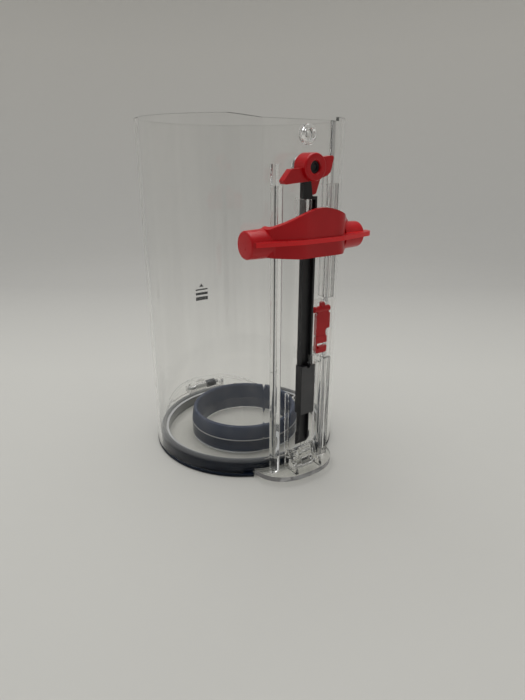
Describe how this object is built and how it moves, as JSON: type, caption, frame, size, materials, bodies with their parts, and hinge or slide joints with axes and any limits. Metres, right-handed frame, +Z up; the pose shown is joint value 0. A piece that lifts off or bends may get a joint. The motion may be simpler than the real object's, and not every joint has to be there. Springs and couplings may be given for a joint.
{
  "type": "vacuum cleaner dust bin",
  "caption": "Clear round dust bin with a hinged base flap, rubber seals, a pushrod runner, a red emptying handle, a rocker and a release button.",
  "frame": {"origin": "centre of the underside of the base flap, on the body's axis", "axes": "+Z up along the body's axis, -Y towards the runner and its handle, +Y towards the flap hinge, +X to the right when the runner is seen from the front"},
  "size_m": [0.1172, 0.1467, 0.196],
  "materials": {
    "clear_body": "clear moulded polycarbonate, polished, with faint scuffs",
    "clear_flap": "clear moulded polycarbonate, polished",
    "black_rubber": "satin moulded rubber",
    "slate_rubber": "matte rubber with a film of fine dust",
    "black_plastic": "satin moulded plastic",
    "red_plastic": "satin red moulded plastic",
    "steel": "drawn wire and ground pin",
    "dark_steel": "oiled black spring wire"
  },
  "bodies": {
    "bin_body": {"bin_shell": "clear_body", "rod_guide_upper": "clear_body", "rod_guide_lower": "clear_body", "rocker_peg": "black_plastic", "hinge_pin": "steel", "hinge_spring": "dark_steel", "rocker_spring": "steel", "rod_spring": "steel", "button_spring": "steel"},
    "flap": {"base_flap": "clear_flap", "base_seal": "black_rubber", "collar_seal": "slate_rubber", "collar_ring": "clear_flap", "catch_pin": "steel", "catch_spring": "steel"},
    "catch_lever": {"base_catch": "clear_flap"},
    "handle_slider": {"handle": "red_plastic"},
    "rod": {"pushrod": "black_plastic"},
    "rocker_arm": {"rocker": "red_plastic"},
    "button": {"release_button": "red_plastic"}
  },
  "joints": [
    {"name": "flap_hinge", "type": "hinge", "parent": "bin_body", "child": "flap", "pos_m": [0, 0.064, 0.0096], "axis": [1, 0, 0], "range_deg": [0, 105]},
    {"name": "handle_slide", "type": "slide", "parent": "bin_body", "child": "handle_slider", "axis": [0, 0, -1], "range_m": [0, 0.006]},
    {"name": "rod_slide", "type": "slide", "parent": "bin_body", "child": "rod", "axis": [0, 0, -1], "range_m": [0, 0.006], "deforming": ["rod_spring"]},
    {"name": "rocker_turn", "type": "hinge", "parent": "bin_body", "child": "rocker_arm", "pos_m": [0, -0.063, 0.1722], "axis": [0, 1, 0], "range_deg": [0, 8.1]},
    {"name": "catch_tilt", "type": "hinge", "parent": "flap", "child": "catch_lever", "pos_m": [0, -0.066, 0.0068], "axis": [1, 0, 0], "range_deg": [0, 10.1]},
    {"name": "button_press", "type": "hinge", "parent": "bin_body", "child": "button", "pos_m": [0.0133, -0.0602, 0.0982], "axis": [1, 0, 0], "range_deg": [0, 5], "deforming": ["button_spring"]}
  ],
  "couplings": [
    {"joint": "rod_slide", "follows": "handle_slide", "ratio": 1},
    {"joint": "rocker_turn", "follows": "handle_slide", "rad_per_m": 23.27},
    {"joint": "catch_tilt", "follows": "handle_slide", "rad_per_m": 29.09}
  ]
}
